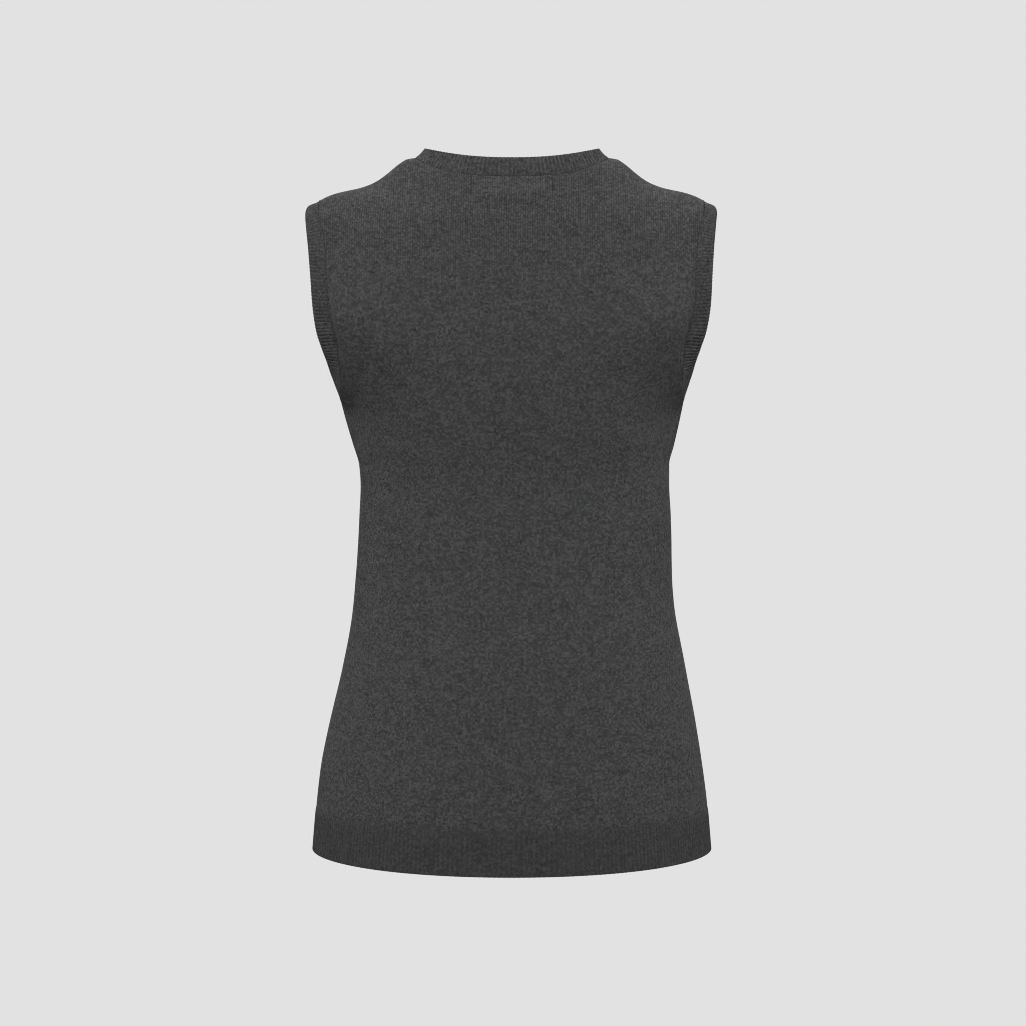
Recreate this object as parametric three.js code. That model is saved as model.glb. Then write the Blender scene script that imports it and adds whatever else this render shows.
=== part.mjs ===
// Knitted sweater vest, worn and held open, as a hollow form.
// Millimetres, +Z up. The back of the garment faces +Y and the front faces -Y.
// The origin is midway between the two points where the shoulder seams meet the neckband.
import * as THREE from 'three';

// Driving dimensions
const HEM_Z = -569;             // lower edge of the hem rib
const RIB_TOP_Z = -533;         // seam between the hem rib and the panels
const UNDERARM_Z = -196;        // lowest point of the armhole seam
const WALL = 1.5;               // stockinette wall
const RIB_WALL = 1.65;          // plain inside of a rib, measured from the mean outer surface
const RIB_RELIEF = 0.35;        // a rib stands this far out, and a furrow lies this far in
const GAP = 0.3;                // gap between two pieces at a seam
const HEM_RIBS = 131;           // ribs in one hem band, pitch 3.4
const NECK_RIBS = 146;          // ribs round the neckband, pitch 2.9
const ARM_RIBS = 136;           // ribs round one armband, pitch 2.9

// The shoulder seam, from the neck point to the shoulder tip
const NECK_POINT = { x: 79, y: 2, z: 0 };
const SHOULDER_TIP = { x: 149.4, y: -4, z: -31.2 };
const SHOULDER = [
  { x: 79, z: 0 },
  { x: 85, z: -0.6 },
  { x: 91.7, z: -4.1 },
  { x: 100.3, z: -10.6 },
  { x: 109.3, z: -17 },
  { x: 125.3, z: -23.5 },
  { x: 149.4, z: -31.2 },
];
const SIDE_SEAM_Y = -3;         // the side seam at the underarm
const HEM_SEAM_Y = 0;           // the side seam at the hem

// Half width of the body at the side seam
const SIDE = [
  { z: -569, half: 165.6 },
  { z: -533, half: 162.4 },
  { z: -500, half: 158.3 },
  { z: -466, half: 152.2 },
  { z: -416, half: 141.6 },
  { z: -366, half: 132.6 },
  { z: -335, half: 130.2 },
  { z: -291, half: 128.4 },
  { z: -264, half: 127 },
  { z: -242, half: 129.4 },
  { z: -217, half: 135.6 },
  { z: -196, half: 141.0 },
];

// Shape of the back and the front. neck is the middle of the neck seam. rise is how steeply a row climbs
// near its side edge. lift is how early the rows above the underarm climb at the centre line.
// centre is the depth of the centre line behind or in front of the plane y = 0.
const BACK = {
  sign: 1,
  neck: { depth: 54, z: -15.5 },
  rise: { low: 3, tip: 2.1, neck: 3 },
  lift: 0.85,
  centre: [
    { z: -569, depth: 114 },
    { z: -533, depth: 115 },
    { z: -470, depth: 110 },
    { z: -400, depth: 98 },
    { z: -330, depth: 84 },
    { z: -267, depth: 80 },
    { z: -200, depth: 93 },
    { z: -150, depth: 97 },
    { z: -110, depth: 93 },
    { z: -60, depth: 78 },
    { z: -15.5, depth: 54 },
  ],
};
const FRONT = {
  sign: -1,
  neck: { depth: 68, z: -80 },
  rise: { low: 3, tip: 1.7, neck: 3 },
  lift: 0.65,
  centre: [
    { z: -569, depth: 113 },
    { z: -533, depth: 114 },
    { z: -470, depth: 110 },
    { z: -400, depth: 102.5 },
    { z: -350, depth: 99.5 },
    { z: -300, depth: 103 },
    { z: -255, depth: 111.5 },
    { z: -210, depth: 118 },
    { z: -180, depth: 116.5 },
    { z: -145, depth: 105 },
    { z: -110, depth: 86 },
    { z: -80, depth: 68 },
  ],
};

// Armhole seam and the free edge of the armband: each is an egg, seen from the side. The bottom and top
// are heights, back and front are half widths, and backX and frontX are how far out it lies.
const ARM_SEAM = {
  bottom: UNDERARM_Z,
  top: SHOULDER_TIP.z,
  back: 55.5,
  front: 51,
  backX: [
    { z: -196, x: 141 },
    { z: -176, x: 138.4 },
    { z: -152, x: 139.5 },
    { z: -138, x: 142.5 },
    { z: -118, x: 146.3 },
    { z: -90, x: 148.1 },
    { z: -65, x: 149.6 },
    { z: -45, x: 151 },
    { z: -31.2, x: 149.4 },
  ],
  frontX: [
    { z: -196, x: 141 },
    { z: -176, x: 137 },
    { z: -150, x: 136 },
    { z: -118, x: 138 },
    { z: -90, x: 141 },
    { z: -65, x: 145 },
    { z: -45, x: 149 },
    { z: -31.2, x: 149.4 },
  ],
};
const ARM_EDGE = {
  bottom: -178,
  top: -42.5,
  back: 42,
  front: 39,
  backX: [
    { z: -178, x: 147 },
    { z: -166, x: 149.6 },
    { z: -153, x: 153.6 },
    { z: -139, x: 157.6 },
    { z: -118, x: 160.5 },
    { z: -95, x: 161.9 },
    { z: -72, x: 163.8 },
    { z: -55, x: 166 },
    { z: -42.5, x: 167.9 },
  ],
  frontX: [
    { z: -178, x: 147 },
    { z: -153, x: 150.5 },
    { z: -118, x: 154.5 },
    { z: -95, x: 156.8 },
    { z: -72, x: 160.5 },
    { z: -55, x: 164.5 },
    { z: -42.5, x: 167.9 },
  ],
};

// Free edge of the neckband
const NECK_EDGE = {
  x: 71,
  y: 2,
  z: 8,
  back: { depth: 48, z: -0.2, rise: 2 },
  front: { depth: 60, z: -65, rise: 2.9 },
};
const NECK_BULGE = 1.2;         // how far the middle of the neckband stands out

const ARM_BULGE = 2;            // how far the middle of an armband stands out

const TIP_ROUND = 0.6;          // how round a panel's section is at the shoulder tip

// Mesh steps
const HALF_COLUMNS = 12;
const BODY_ROWS = 11;
const ARMHOLE_ROWS = 20;
const SHOULDER_ROWS = 6;

const knitColour = '#424243';
const ribColour = '#3b3b3c';

// Value of column `to` of a table where column `from` has a value, on a smooth curve through its rows
// that doesn't overshoot them
function read(table, from, to, value) {
  const rows = [...table].sort((a, b) => a[from] - b[from]);
  const last = rows.length - 1;
  if (value <= rows[0][from]) return rows[0][to];
  if (value >= rows[last][from]) return rows[last][to];
  const slope = (i) => (rows[i + 1][to] - rows[i][to]) / (rows[i + 1][from] - rows[i][from]);
  const tangent = (i) => {
    if (i === 0) return slope(0);
    if (i === last) return slope(last - 1);
    const before = slope(i - 1);
    const after = slope(i);
    if (before * after <= 0) return 0;
    return (2 * before * after) / (before + after);
  };
  const i = rows.findIndex((row) => row[from] > value) - 1;
  const span = rows[i + 1][from] - rows[i][from];
  const t = (value - rows[i][from]) / span;
  const start = rows[i][to] * (1 + 2 * t) * (1 - t) ** 2 + tangent(i) * span * t * (1 - t) ** 2;
  const end = rows[i + 1][to] * (3 - 2 * t) * t ** 2 - tangent(i + 1) * span * (1 - t) * t ** 2;
  return start + end;
}

const mix = THREE.MathUtils.lerp;

// Point of an armhole loop. The angle is 0 at the underarm, 90 degrees at the back and 180 at the shoulder.
function armPoint(loop, angle) {
  const z = mix(loop.bottom, loop.top, (1 - Math.cos(angle)) / 2);
  const middle = mix(SIDE_SEAM_Y, SHOULDER_TIP.y, (1 - Math.cos(angle)) / 2);
  const sine = Math.sin(angle);
  const isBack = sine >= 0;
  const y = middle + sine * (isBack ? loop.back : loop.front);
  return new THREE.Vector3(read(isBack ? loop.backX : loop.frontX, 'z', 'x', z), y, z);
}

// Angles along half an armhole seam, evenly spaced by length, with the length to each
function armSteps(face, count) {
  const samples = 400;
  const length = [0];
  for (let i = 1; i <= samples; i += 1) {
    const a = armPoint(ARM_SEAM, (face.sign * Math.PI * (i - 1)) / samples);
    const b = armPoint(ARM_SEAM, (face.sign * Math.PI * i) / samples);
    length.push(length[i - 1] + a.distanceTo(b));
  }
  const steps = [];
  for (let k = 1; k <= count; k += 1) {
    const target = (length[samples] * k) / count;
    const i = Math.max(1, length.findIndex((value) => value >= target - 1e-9));
    const part = (target - length[i - 1]) / (length[i] - length[i - 1]);
    steps.push({ angle: (Math.PI * (i - 1 + part)) / samples, length: target });
  }
  return steps;
}

// Rows of a panel from the hem seam to the neck seam. Each runs from the centre line to the side edge.
function panelRows(face) {
  const rows = [];
  for (let k = 0; k <= BODY_ROWS; k += 1) {
    const t = k / BODY_ROWS;
    const z = mix(RIB_TOP_Z, UNDERARM_Z, t);
    const y = mix(HEM_SEAM_Y, SIDE_SEAM_Y, (z - HEM_Z) / (UNDERARM_Z - HEM_Z));
    const end = new THREE.Vector3(read(SIDE, 'z', 'half', z), y, z);
    rows.push({ seam: 'side', end, sideY: y, z, square: 2 + 0.35 * t, round: 0.5, rise: face.rise.low });
  }
  const steps = armSteps(face, ARMHOLE_ROWS);
  const armLength = steps[ARMHOLE_ROWS - 1].length;
  const neckPoint = new THREE.Vector3(NECK_POINT.x, NECK_POINT.y, NECK_POINT.z);
  const tip = armPoint(ARM_SEAM, Math.PI);
  const shoulder = tip.distanceTo(neckPoint);
  const whole = armLength + shoulder;
  const above = (length) => mix(UNDERARM_Z, face.neck.z, (length / whole) ** face.lift);
  for (const { angle, length } of steps) {
    const end = armPoint(ARM_SEAM, face.sign * angle);
    const t = length / armLength;
    const sideY = mix(SIDE_SEAM_Y, SHOULDER_TIP.y, t);
    const rise = mix(face.rise.low, face.rise.tip, t);
    const shape = { square: 2.35 - 0.15 * t, round: mix(0.5, TIP_ROUND, t ** 2), rise };
    rows.push({ seam: 'arm', angle: face.sign * angle, end, sideY, z: above(length), ...shape });
  }
  rows[rows.length - 1].seam = 'tip';
  for (let k = 1; k <= SHOULDER_ROWS; k += 1) {
    const t = k / SHOULDER_ROWS;
    const end = tip.clone().lerp(neckPoint, t);
    end.z = read(SHOULDER, 'x', 'z', end.x);
    const rise = mix(face.rise.tip, face.rise.neck, t);
    const shape = { square: 2.2 - 0.2 * t, round: mix(TIP_ROUND, 0.5, t), rise };
    rows.push({ seam: 'shoulder', end, sideY: end.y, z: above(armLength + shoulder * t), ...shape });
  }
  return rows;
}

// Point of a row at a share of its half width, from 0 at the centre to 1 at the side edge
function rowPoint(face, row, share) {
  const x = row.end.x * Math.sin((share * Math.PI) / 2);
  const depth = read(face.centre, 'z', 'depth', row.z) - face.sign * row.sideY;
  const endDepth = Math.max(0, face.sign * (row.end.y - row.sideY)) / depth;
  const width = row.end.x / (1 - endDepth ** (1 / row.round)) ** (1 / row.square);
  const y = row.sideY + face.sign * depth * Math.max(0, 1 - (x / width) ** row.square) ** row.round;
  const z = mix(row.z, row.end.z, (x / row.end.x) ** row.rise);
  return new THREE.Vector3(x, y, z);
}

// Outer points of a panel, and the direction through its wall at each
function panelGrid(face) {
  const rows = panelRows(face);
  const points = rows.map((row) => {
    const line = [];
    for (let i = -HALF_COLUMNS; i <= HALF_COLUMNS; i += 1) {
      const point = rowPoint(face, row, Math.abs(i) / HALF_COLUMNS);
      if (i < 0) point.x = -point.x;
      if (Math.abs(i) === HALF_COLUMNS && row.seam !== 'arm') point.y += (face.sign * GAP) / 2;
      line.push(point);
    }
    return line;
  });
  const inward = points.map((line) => line.map(() => new THREE.Vector3()));
  for (let k = 0; k + 1 < points.length; k += 1) {
    for (let i = 0; i < 2 * HALF_COLUMNS; i += 1) {
      const corners = [[k, i], [k, i + 1], [k + 1, i + 1], [k + 1, i]];
      const [a, b, c, d] = corners.map(([row, side]) => points[row][side]);
      const normal = new THREE.Vector3().crossVectors(c.clone().sub(a), d.clone().sub(b));
      normal.multiplyScalar(-face.sign);
      corners.forEach(([row, side]) => inward[row][side].add(normal));
    }
  }
  inward.forEach((line, k) => line.forEach((direction, i) => {
    direction.negate();
    const isEdge = i === 0 || i === 2 * HALF_COLUMNS;
    if (k === 0) direction.z = 0;
    if (isEdge && rows[k].seam !== 'arm') direction.y = 0;
    direction.normalize();
  }));
  return { rows, points, inward };
}

// A closed body from outer rows and inner rows of points, where an inner step spans `ratio` outer steps.
// A ring closes on itself, and a strip has end walls.
function wallGeometry(outer, inner, ratio, isRing) {
  const positions = [];
  const index = [];
  const put = (rows) => rows.map((row) => row.map((point) => {
    positions.push(point.x, point.y, point.z);
    return positions.length / 3 - 1;
  }));
  const out = put(outer);
  const inn = put(inner);
  const steps = (row) => (isRing ? row.length : row.length - 1);
  const at = (row, i) => row[i % row.length];
  const skin = (rows, isInner) => {
    for (let k = 0; k + 1 < rows.length; k += 1) {
      for (let i = 0; i < steps(rows[k]); i += 1) {
        const a = at(rows[k], i);
        const b = at(rows[k], i + 1);
        const c = at(rows[k + 1], i + 1);
        const d = at(rows[k + 1], i);
        if (isInner) index.push(a, c, b, a, d, c);
        else index.push(a, b, c, a, c, d);
      }
    }
  };
  const fan = (outRow, inRow, isLast) => {
    const tri = (a, b, c) => (isLast ? index.push(a, b, c) : index.push(a, c, b));
    for (let i = 0; i < steps(inRow); i += 1) {
      const near = at(inRow, i);
      const far = at(inRow, i + 1);
      for (let j = 0; j < ratio; j += 1) {
        const a = at(outRow, i * ratio + j);
        const b = at(outRow, i * ratio + j + 1);
        if (j < ratio / 2) tri(a, b, near);
        else tri(a, b, far);
        if (j === Math.ceil(ratio / 2) - 1) tri(b, far, near);
      }
    }
  };
  skin(out, false);
  skin(inn, true);
  fan(out[0], inn[0], false);
  fan(out[out.length - 1], inn[inn.length - 1], true);
  if (!isRing) {
    for (const isFar of [false, true]) {
      const pick = (rows) => rows.map((row) => (isFar ? row[row.length - 1] : row[0]));
      const outEdge = pick(out);
      const inEdge = pick(inn);
      const share = (outEdge.length - 1) / (inEdge.length - 1);
      const tri = (a, b, c) => (isFar ? index.push(a, c, b) : index.push(a, b, c));
      for (let k = 0; k + 1 < inEdge.length; k += 1) {
        for (let j = 0; j < share; j += 1) {
          tri(inEdge[k], outEdge[k * share + j], outEdge[k * share + j + 1]);
        }
        tri(inEdge[k], outEdge[(k + 1) * share], inEdge[k + 1]);
      }
    }
  }
  const geometry = new THREE.BufferGeometry();
  geometry.setAttribute('position', new THREE.Float32BufferAttribute(positions, 3));
  geometry.setIndex(index);
  return facingOut(geometry);
}

// The same geometry with its faces turned out, judged by the sign of its volume
function facingOut(geometry) {
  const index = [...geometry.index.array];
  const corner = [new THREE.Vector3(), new THREE.Vector3(), new THREE.Vector3()];
  let volume = 0;
  for (let i = 0; i < index.length; i += 3) {
    corner.forEach((point, j) => point.fromBufferAttribute(geometry.attributes.position, index[i + j]));
    volume += corner[0].dot(corner[1].clone().cross(corner[2]));
  }
  if (volume < 0) {
    for (let i = 0; i < index.length; i += 3) [index[i], index[i + 1]] = [index[i + 1], index[i]];
    geometry.setIndex(index);
  }
  geometry.computeVertexNormals();
  return geometry;
}

function cloth(name, geometry, colour) {
  const material = new THREE.MeshStandardMaterial({ color: colour, roughness: 0.95, metalness: 0 });
  const mesh = new THREE.Mesh(geometry, material);
  mesh.name = name;
  return mesh;
}

const shifted = (point, direction, distance) => point.clone().addScaledVector(direction, distance);
const relief = (i) => (i % 2 === 0 ? RIB_RELIEF : -RIB_RELIEF);

function panel(name, grid) {
  const inner = grid.points.map((line, k) => line.map((point, i) => shifted(point, grid.inward[k][i], WALL)));
  return cloth(name, wallGeometry(grid.points, inner, 1, false), knitColour);
}

// Hem rib of one side: a ribbed strip under its panel
function hemRib(name, face) {
  const columns = 2 * HEM_RIBS;
  const lines = [];
  for (const z of [HEM_Z, RIB_TOP_Z - GAP]) {
    const half = read(SIDE, 'z', 'half', z);
    const depth = read(face.centre, 'z', 'depth', z) - GAP / 2;
    const at = (i, offset) => {
      const angle = (Math.PI * (i - HEM_RIBS)) / columns;
      const x = (half + offset) * Math.sin(angle);
      const y = face.sign * (GAP / 2 + (depth + offset) * Math.cos(angle));
      return new THREE.Vector3(x, y, z);
    };
    const ratio = 2;
    const outer = Array.from({ length: columns + 1 }, (_, i) => at(i, relief(i)));
    const inner = Array.from({ length: columns / ratio + 1 }, (_, i) => at(i * ratio, -RIB_WALL));
    lines.push({ outer, inner });
  }
  const geometry = wallGeometry(lines.map((line) => line.outer), lines.map((line) => line.inner), 2, false);
  return cloth(name, geometry, ribColour);
}

// A seam as a closed list of stations, each with its angle, point, direction into the wall and
// direction across the seam, away from the panels
function seamStations(stations, flip) {
  const count = stations.length;
  const turn = 2 * Math.PI;
  stations.forEach((station, i) => {
    const before = stations[(i + count - 1) % count].point;
    const after = stations[(i + 1) % count].point;
    const along = after.clone().sub(before).normalize();
    station.across = new THREE.Vector3().crossVectors(along, station.inward).normalize().multiplyScalar(flip);
  });
  return [...stations, { ...stations[0], angle: stations[0].angle + turn }];
}

// Point, wall direction and across direction of a seam at an angle, blended between its stations
function seamAt(stations, angle) {
  const turn = 2 * Math.PI;
  const first = stations[0].angle;
  const place = first + ((((angle - first) % turn) + turn) % turn);
  const after = Math.max(1, stations.findIndex((station) => station.angle >= place));
  const a = stations[after - 1];
  const b = stations[after];
  const t = (place - a.angle) / (b.angle - a.angle);
  return {
    point: a.point.clone().lerp(b.point, t),
    inward: a.inward.clone().lerp(b.inward, t).normalize(),
    across: a.across.clone().lerp(b.across, t).normalize(),
  };
}

// A ribbed ring from a seam to a free edge, edge(angle), with its ribs evenly spaced along its middle
function ribbedRing(name, { stations, edge, ribs, bulge, segments }) {
  const samples = 1440;
  const turn = 2 * Math.PI;
  const middle = (angle) => seamAt(stations, angle).point.add(edge(angle)).multiplyScalar(0.5);
  const length = [0];
  for (let i = 1; i <= samples; i += 1) {
    length.push(length[i - 1] + middle((turn * (i - 1)) / samples).distanceTo(middle((turn * i) / samples)));
  }
  const columns = 2 * ribs;
  const outer = Array.from({ length: segments + 1 }, () => []);
  const inner = [[], []];
  const ratio = 4;
  for (let j = 0; j < columns; j += 1) {
    const target = (length[samples] * j) / columns;
    const i = Math.max(1, length.findIndex((value) => value >= target));
    const angle = (turn * (i - 1 + (target - length[i - 1]) / (length[i] - length[i - 1]))) / samples;
    const { point: seamPoint, inward, across } = seamAt(stations, angle);
    const start = seamPoint.addScaledVector(across, GAP);
    const finish = edge(angle);
    const step = 1e-3;
    const along = edge(angle + step).sub(edge(angle - step)).normalize();
    const inwardEdge = new THREE.Vector3().crossVectors(finish.clone().sub(start), along).normalize();
    if (inwardEdge.dot(inward) < 0) inwardEdge.negate();
    for (let s = 0; s <= segments; s += 1) {
      const t = s / segments;
      const through = inward.clone().lerp(inwardEdge, t).normalize();
      const point = start.clone().lerp(finish, t);
      outer[s].push(point.addScaledVector(through, -bulge * Math.sin(Math.PI * t) - relief(j)));
    }
    if (j % ratio === 0) {
      inner[0].push(shifted(start, inward, RIB_WALL));
      inner[1].push(shifted(finish, inwardEdge, RIB_WALL));
    }
  }
  return cloth(name, wallGeometry(outer, inner, ratio, true), ribColour);
}

const mirrored = (point, side) => new THREE.Vector3(side * point.x, point.y, point.z);

// Stations round the armhole of the +X side, from the underarm over the back and the shoulder to the front
function armStations(back, front) {
  const turn = 2 * Math.PI;
  const edge = 2 * HALF_COLUMNS;
  const half = (grid, start) => grid.rows
    .map((row, k) => ({ seam: row.seam, angle: start + row.angle, point: grid.points[k][edge],
      inward: grid.inward[k][edge] }))
    .filter(({ seam }) => seam === 'arm');
  const shared = (angle, k) => {
    const inward = back.inward[k][edge].clone().add(front.inward[k][edge]).normalize();
    return { angle, point: back.rows[k].end, inward };
  };
  return [
    shared(0, BODY_ROWS),
    ...half(back, 0),
    shared(Math.PI, BODY_ROWS + ARMHOLE_ROWS),
    ...half(front, turn).reverse(),
  ];
}

function armband(name, stations, side) {
  const placed = stations.map(({ angle, point, inward }) => ({
    angle, point: mirrored(point, side), inward: mirrored(inward, side),
  }));
  return ribbedRing(name, {
    stations: seamStations(placed, side),
    edge: (angle) => mirrored(armPoint(ARM_EDGE, angle), side),
    ribs: ARM_RIBS,
    bulge: ARM_BULGE,
    segments: 2,
  });
}

// Neck loops. The angle is 0 at the centre back, 90 degrees at the +X shoulder and 180 at the centre front.
function neckband(name, back, front) {
  const edge = (angle) => {
    const half = Math.cos(angle) >= 0 ? NECK_EDGE.back : NECK_EDGE.front;
    const x = NECK_EDGE.x * Math.sin(angle);
    const y = NECK_EDGE.y + half.depth * Math.cos(angle);
    return new THREE.Vector3(x, y, mix(half.z, NECK_EDGE.z, Math.abs(Math.sin(angle)) ** half.rise));
  };
  const top = BODY_ROWS + ARMHOLE_ROWS + SHOULDER_ROWS;
  const quarter = Math.PI / 2;
  const line = (grid, angleOf) => grid.points[top].slice(1, -1).map((point, i) => ({
    angle: angleOf((i + 1 - HALF_COLUMNS) / HALF_COLUMNS), point, inward: grid.inward[top][i + 1],
  }));
  const shared = (side) => {
    const i = side < 0 ? 0 : 2 * HALF_COLUMNS;
    const inward = back.inward[top][i].clone().add(front.inward[top][i]).normalize();
    return { angle: side * quarter, point: mirrored(back.rows[top].end, side), inward };
  };
  const stations = [
    shared(-1),
    ...line(back, (share) => share * quarter),
    shared(1),
    ...line(front, (share) => 2 * quarter - share * quarter).reverse(),
  ];
  return ribbedRing(name, {
    stations: seamStations(stations, -1), edge, ribs: NECK_RIBS, bulge: NECK_BULGE, segments: 2,
  });
}

const backGrid = panelGrid(BACK);
const frontGrid = panelGrid(FRONT);
const stations = armStations(backGrid, frontGrid);

const vest = new THREE.Group();
vest.name = 'sweater_vest';
vest.add(panel('back_panel', backGrid));
vest.add(panel('front_panel', frontGrid));
vest.add(hemRib('hem_rib_back', BACK));
vest.add(hemRib('hem_rib_front', FRONT));
vest.add(neckband('neckband', backGrid, frontGrid));
vest.add(armband('armband_left', stations, 1));
vest.add(armband('armband_right', stations, -1));

export default vest;
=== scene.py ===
import math

import bpy
import numpy as np
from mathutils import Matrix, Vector


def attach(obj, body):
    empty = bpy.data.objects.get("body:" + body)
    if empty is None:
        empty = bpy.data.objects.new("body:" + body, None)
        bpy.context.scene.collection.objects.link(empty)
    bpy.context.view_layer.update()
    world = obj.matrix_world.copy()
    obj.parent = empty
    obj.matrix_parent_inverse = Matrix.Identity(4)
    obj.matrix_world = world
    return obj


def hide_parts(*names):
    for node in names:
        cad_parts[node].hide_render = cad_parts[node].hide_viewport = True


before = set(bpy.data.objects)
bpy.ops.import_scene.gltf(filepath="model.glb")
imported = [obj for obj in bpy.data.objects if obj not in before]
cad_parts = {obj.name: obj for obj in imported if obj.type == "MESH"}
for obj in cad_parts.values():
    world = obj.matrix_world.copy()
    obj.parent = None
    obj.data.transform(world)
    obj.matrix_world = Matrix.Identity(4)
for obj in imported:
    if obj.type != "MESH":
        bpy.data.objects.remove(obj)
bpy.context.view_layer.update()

# The tables and shapes below are in millimetres, as in the CAD source. Meshes are written in metres.
MM = 0.001
SEED = 11

# Driving dimensions
HEM_Z = -569            # lower edge of the hem rib
RIB_TOP_Z = -533        # seam between the hem rib and the panels
UNDERARM_Z = -196       # lowest point of the armhole seam
KNIT_WALL = 1.2         # thickness of the stockinette
RIB_WALL = 1.5          # thickness of a rib band, from its mean outer surface
RIB_RELIEF = 0.35       # a rib stands this far out, and a furrow lies this far in
GAP = 0.1               # gap between two pieces at a seam
SEAM_DIP = 0.25         # how far a panel's edge turns in at a seam
SEAM_REACH = 0.9        # how far from a seam that begins
HEM_RIBS = 131
NECK_RIBS = 146
ARM_RIBS = 136
WALE = 1.9              # width of a stockinette stitch
COURSE = 1.4            # height of a stitch
RIB_STITCH = 1.45       # height of a stitch in the ribs


def curve(*rows):
    """A smooth curve through (place, value) rows that doesn't overshoot them and is level past its ends."""
    place, value = np.array(sorted(rows), float).T
    slope = np.diff(value) / np.diff(place)
    before, after = slope[:-1], slope[1:]
    same_way = before * after > 0
    total = np.where(same_way, before + after, 1)
    middle = np.where(same_way, 2 * before * after / total, 0)
    tangent = np.concatenate([slope[:1], middle, slope[-1:]])

    def at(where):
        where = np.clip(where, place[0], place[-1])
        i = np.clip(np.searchsorted(place, where, side="right") - 1, 0, len(slope) - 1)
        span = place[i + 1] - place[i]
        t = (where - place[i]) / span
        start = value[i] * (1 + 2 * t) + tangent[i] * span * t
        end = value[i + 1] * (3 - 2 * t) - tangent[i + 1] * span * (1 - t)
        return start * (1 - t) ** 2 + end * t**2

    return at


# The shoulder seam, from the neck point to the shoulder tip: height at each distance from the middle
NECK_POINT = np.array([79, 2, 0.0])
SHOULDER_TIP = np.array([156.5, -4, -33.2])
SHOULDER = curve(
    (79, 0.7), (85, -0.1), (91.7, -3.9), (100.3, -10.9), (109.3, -17.5), (117, -21.2), (125.3, -23.8),
    (134, -25.6), (142, -27.4), (149.4, -29.8), (156.5, -33.2)
)
SIDE_SEAM_Y = -3        # the side seam at the underarm
HEM_SEAM_Y = 0          # the side seam at the hem

# Half width of the body at each height
SIDE = curve(
    (-569, 165.6), (-533, 162.4), (-500, 158.3), (-466, 152.2), (-416, 141.6), (-366, 132.6),
    (-335, 130.2), (-291, 128.4), (-264, 127), (-251, 127.3), (-234, 132), (-217, 136.5), (-196, 141.4),
)

# How far the worn garment sways to the side at each height
SWAY = curve(
    (-564, 0.15), (-531, 0.15), (-498, 0.3), (-482, 0), (-449, -0.9), (-416, -1.65), (-399, -1.75),
    (-366, -1.4), (-350, -1.4), (-333, -1.8), (-300, -2.5), (-284, -2.5), (-251, -2), (-218, -0.8),
    (-201, -0.25), (-185, 0.2),
    (-152, 0.7), (-119, 0.35), (-80, 0.7), (-53, 0.9), (-33, 0.3), (0, 0.1),
)

# Shape of the back and the front. centre is the depth of the centre line at each height. neck_z is the
# middle of the neck seam. rise is how steeply a row climbs near its edge, low, at the tip and at the neck.
BACK = {
    "sign": 1,
    "neck_z": -15.5,
    "rise": (3, 2.1, 3),
    "lift": 0.85,
    "centre": curve(
        (-569, 114), (-533, 115), (-470, 107.5), (-400, 96.8), (-330, 85), (-267, 81.5),
        (-200, 92), (-150, 96.5), (-110, 93), (-60, 78), (-15.5, 54),
    ),
}
FRONT = {
    "sign": -1,
    "neck_z": -80,
    "rise": (3, 1.7, 3),
    "lift": 0.65,
    "centre": curve(
        (-569, 113), (-533, 114), (-470, 110), (-400, 102.5), (-350, 99.5), (-300, 103),
        (-255, 111.5), (-210, 118), (-180, 116.5), (-145, 105), (-110, 86), (-80, 68),
    ),
}

# Armhole seam and free edge of the armband, each an egg seen from the side
ARM_SEAM = {
    "bottom": UNDERARM_Z,
    "top": SHOULDER_TIP[2],
    "back": 55.5,
    "front": 51,
    "back_x": curve(
        (-196, 141.4), (-176, 138.4), (-152, 139.5), (-138, 142.5), (-118, 146.3), (-90, 148.1),
        (-65, 150.2), (-52, 153.4), (-42, 156.2), (-33.2, 156.5),
    ),
    "front_x": curve(
        (-196, 141.4), (-176, 137), (-150, 136), (-118, 138), (-90, 141), (-65, 146), (-48, 152),
        (-33.2, 156.5),
    ),
}
ARM_EDGE = {
    "bottom": -178,
    "top": -42.5,
    "back": 42,
    "front": 39,
    "back_x": curve(
        (-178, 147), (-166, 149.6), (-153, 153.6), (-139, 157.6), (-118, 160.5), (-95, 161.9),
        (-72, 163.8), (-55, 166), (-42.5, 167.9),
    ),
    "front_x": curve(
        (-178, 147), (-153, 150.5), (-118, 154.5), (-95, 156.8), (-72, 160.5), (-55, 164.5),
        (-42.5, 167.9),
    ),
}
ARM_BULGE = (0.1, 2.1)   # how far an armband stands out near its edge, at the underarm and at the shoulder
ARM_DIP = 0.3           # how much deeper the armhole seam lies just above the underarm

# Share of the full relief of a band's ribs at the seam and past the ramp, and the width of that ramp
ARM_RELIEF = (0.2, 0.62, 0.45)
NECK_RELIEF = (0.45, 1.0, 0.1)

# Where a rib of an armband ends on the edge, for the place on the seam where it starts, both in degrees
ARM_RIB_END = curve((0, 0), (30, 20), (60, 48.5), (90, 87), (115, 116), (130, 131), (150, 150), (180, 180))

# Free edge of the neckband, with its depth, height and rise at the back and the front
NECK_EDGE = {"x": 71, "y": 2, "z": 8, "back": (48, -0.9, 2.3), "front": (60, -65, 2.9)}
NECK_BULGE = (0.8, -0.6)    # how far the neckband stands out at the middle and at the shoulders
TIP_ROUND = 0.6         # how round a panel's section is at the shoulder tip

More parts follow.
